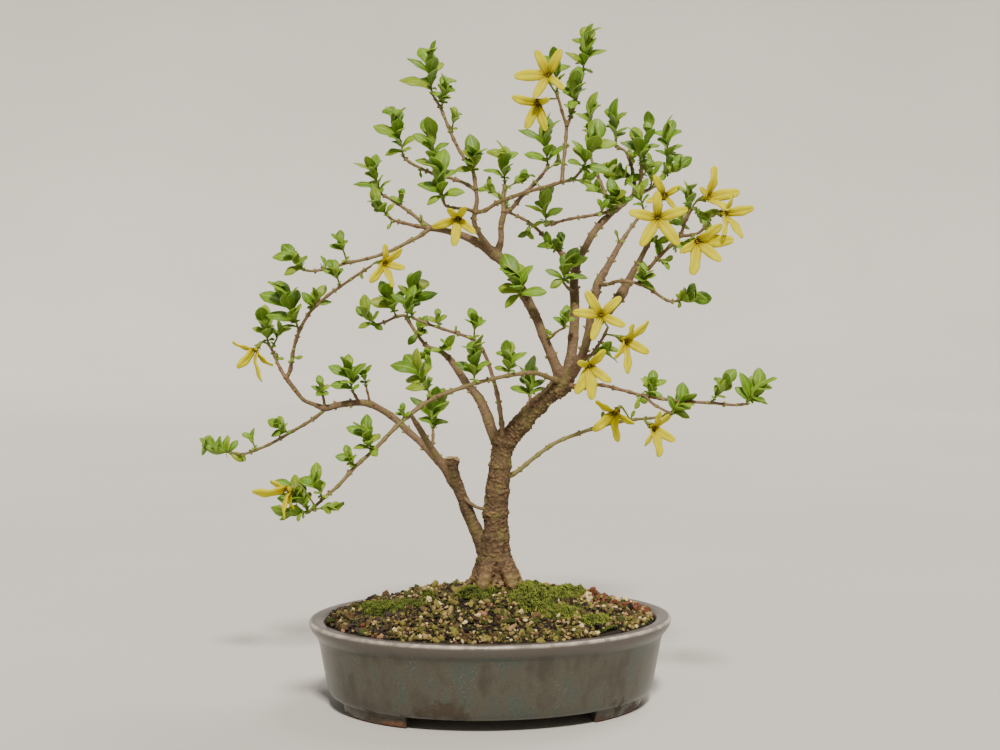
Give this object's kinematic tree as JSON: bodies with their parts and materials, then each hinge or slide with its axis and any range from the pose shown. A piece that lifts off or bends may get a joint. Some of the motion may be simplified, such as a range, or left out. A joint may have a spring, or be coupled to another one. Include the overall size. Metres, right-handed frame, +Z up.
{
  "type": "flowering bonsai tree in a pot",
  "caption": "Small forsythia bonsai in early leaf and yellow bloom, planted in a mound of gritty soil in a glazed oval pot on low feet.",
  "frame": {"origin": "middle of the bounding box, at the underside of the pot's four feet", "axes": "+Z up; +X to the right along the pot's long side as seen from the tree's front; +Y away from the front"},
  "size_m": [0.3078, 0.1586, 0.3673],
  "materials": {
    "glaze": "satin",
    "soil": "matte",
    "mesh": "matte",
    "moss": "matte",
    "bark": "matte",
    "leaf": "satin",
    "petal": "satin"
  },
  "bodies": {
    "root": {"pot": "glaze", "drain_screen_left": "mesh", "drain_screen_right": "mesh", "soil": "soil", "moss_right": "moss", "moss_trunk": "moss", "moss_left": "moss", "moss_front": "moss", "wood": "bark", "stem_low_left": "leaf", "stem_left_arch": "leaf", "stem_left_tip": "leaf", "shoot_left_low": "leaf", "shoot_left_tall": "leaf", "shoot_left_bud": "leaf", "stem_front_left": "leaf", "stem_mid_left": "leaf", "stem_mid": "leaf", "stem_upper_left": "leaf", "stem_crown_left": "leaf", "stem_crown_tall": "leaf", "stem_crown_front": "leaf", "stem_crown_mid": "leaf", "stem_crown_back": "leaf", "stem_crown_right": "leaf", "stem_crown_top": "leaf", "stem_back_left": "leaf", "stem_back_mid": "leaf", "stem_back_right": "leaf", "stem_back_across": "leaf", "stem_back_low": "leaf", "shoot_centre": "leaf", "shoot_front": "leaf", "stem_centre_small": "leaf", "stem_right_bloom": "leaf", "stem_right_mid": "leaf", "stem_right_long": "leaf", "stem_right_low": "leaf", "stem_right_top": "leaf", "stem_right_high": "leaf", "stem_right_inner": "leaf", "shoot_low_back": "leaf", "shoot_centre_back": "leaf", "bloom_01": "petal", "bloom_02": "petal", "bloom_03": "petal", "bloom_04": "petal", "bloom_05": "petal", "bloom_06": "petal", "bloom_07": "petal", "bloom_08": "petal", "bloom_09": "petal", "bloom_10": "petal", "bloom_11": "petal", "bloom_12": "petal", "bloom_13": "petal", "bloom_14": "petal", "bloom_15": "petal", "bloom_16": "petal"}
  },
  "joints": []
}
